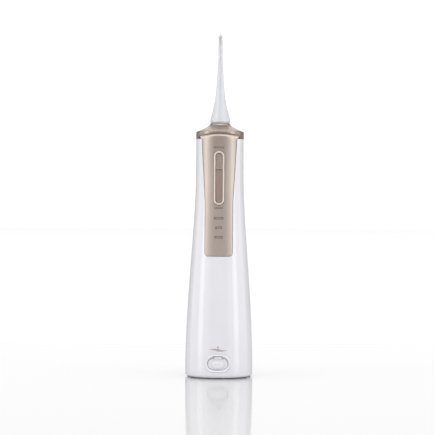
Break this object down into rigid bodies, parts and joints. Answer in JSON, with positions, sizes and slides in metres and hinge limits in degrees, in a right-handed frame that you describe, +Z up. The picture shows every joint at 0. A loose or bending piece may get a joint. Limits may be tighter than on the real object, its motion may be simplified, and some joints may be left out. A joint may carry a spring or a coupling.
{
  "type": "water flosser",
  "caption": "Cordless water flosser: flared white tank with a fill port, lift-out handle with control panel, pump inside and a turning, pull-off bent jet nozzle.",
  "frame": {"origin": "centre of the base where it stands", "axes": "+Z up along the body, -Y out of the control panel, +X to the right seen from the front"},
  "size_m": [0.059, 0.0664, 0.2962],
  "materials": {
    "white_shell": "gloss",
    "inner_plastic": "matte",
    "champagne": "satin anodised",
    "champagne_polished": "polished",
    "key_brown": "satin",
    "silicone": "soft",
    "seal_rubber": "matt",
    "nozzle_clear": "translucent gloss",
    "steel": "brushed",
    "acetal": "natural",
    "circuit_board": "solder mask",
    "switch_black": "matt",
    "cell_wrap": "shrink film",
    "lamp": "frosted"
  },
  "bodies": {
    "tank": {"tank_shell": "white_shell", "tank_collar": "inner_plastic", "collar_gasket": "silicone", "base_plate": "white_shell", "foot_ring": "silicone", "fill_port_frame": "white_shell", "flap_pin": "steel"},
    "fill_flap": {"fill_flap": "white_shell", "fill_plug": "silicone"},
    "handle": {"handle_core": "inner_plastic", "bottom_cap": "inner_plastic", "front_panel": "champagne", "panel_carrier": "inner_plastic", "key_ring": "champagne_polished", "indicator_window_1": "lamp", "indicator_window_2": "lamp", "indicator_window_3": "lamp", "indicator_led_1": "lamp", "indicator_led_2": "lamp", "indicator_led_3": "lamp", "control_board": "circuit_board", "power_switch": "switch_black", "mode_switch": "switch_black", "top_cap": "champagne", "outlet_block": "inner_plastic", "release_spring": "steel", "rear_tongue": "white_shell", "charge_socket": "steel", "battery": "cell_wrap", "battery_cradle": "acetal", "motor": "steel", "gear_axle": "steel", "pump_frame": "acetal", "pump_cylinder": "acetal", "valve_head": "acetal", "suction_tube": "silicone", "pressure_tube": "silicone", "intake_hose": "silicone", "intake_strainer": "steel"},
    "power_key": {"power_key": "champagne"},
    "mode_key": {"mode_key": "key_brown"},
    "release": {"release_button": "champagne", "latch_plate": "steel"},
    "nozzle_socket": {"nozzle_socket": "inner_plastic"},
    "nozzle": {"nozzle": "nozzle_clear", "nozzle_seal": "seal_rubber"},
    "charge_cover": {"charge_cover": "silicone"},
    "motor_shaft": {"motor_shaft": "steel", "motor_pinion": "steel"},
    "drive_gear": {"drive_gear": "acetal", "crank_pin": "steel"},
    "piston": {"piston": "acetal", "piston_seal": "seal_rubber", "wrist_pin": "steel"},
    "connecting_rod": {"connecting_rod": "acetal"}
  },
  "joints": [
    {"name": "handle_lift", "type": "slide", "parent": "tank", "child": "handle", "axis": [0, 0, 1], "range_m": [0, 0.177]},
    {"name": "fill_flap_hinge", "type": "hinge", "parent": "tank", "child": "fill_flap", "pos_m": [0, -0.0317, 0.0178], "axis": [-1, 0, 0], "range_deg": [0, 60]},
    {"name": "power_key_press", "type": "slide", "parent": "handle", "child": "power_key", "axis": [0, 1, 0], "range_m": [0, 0.0006], "stiffness_N_per_m": 1500},
    {"name": "mode_key_press", "type": "slide", "parent": "handle", "child": "mode_key", "axis": [0, 1, 0], "range_m": [0, 0.0006], "stiffness_N_per_m": 1500},
    {"name": "release_press", "type": "slide", "parent": "handle", "child": "release", "axis": [0, -1, 0], "range_m": [0, 0.0012], "stiffness_N_per_m": 1200, "deforming": ["release_spring"]},
    {"name": "nozzle_turn", "type": "hinge", "parent": "handle", "child": "nozzle_socket", "pos_m": [0, 0, 0.213], "axis": [0, 0, 1], "continuous": true},
    {"name": "nozzle_pull", "type": "slide", "parent": "nozzle_socket", "child": "nozzle", "axis": [0, 0, 1], "range_m": [0, 0.0245]},
    {"name": "charge_cover_hinge", "type": "hinge", "parent": "handle", "child": "charge_cover", "pos_m": [0, 0.0235, 0.1838], "axis": [-1, 0, 0], "range_deg": [0, 110]},
    {"name": "gear_spin", "type": "hinge", "parent": "handle", "child": "drive_gear", "pos_m": [0, -0.0132, 0.1225], "axis": [0, 1, 0], "continuous": true},
    {"name": "motor_spin", "type": "hinge", "parent": "handle", "child": "motor_shaft", "pos_m": [0, -0.0132, 0.111], "axis": [0, 1, 0], "continuous": true},
    {"name": "piston_stroke", "type": "slide", "parent": "handle", "child": "piston", "axis": [0, 0, 1], "range_m": [0, 0.006]},
    {"name": "rod_swing", "type": "hinge", "parent": "piston", "child": "connecting_rod", "pos_m": [0, -0.0085, 0.1415], "axis": [0, 1, 0], "range_deg": [-8, 8]}
  ],
  "couplings": [
    {"joint": "motor_spin", "follows": "gear_spin", "ratio": -3.6}
  ]
}
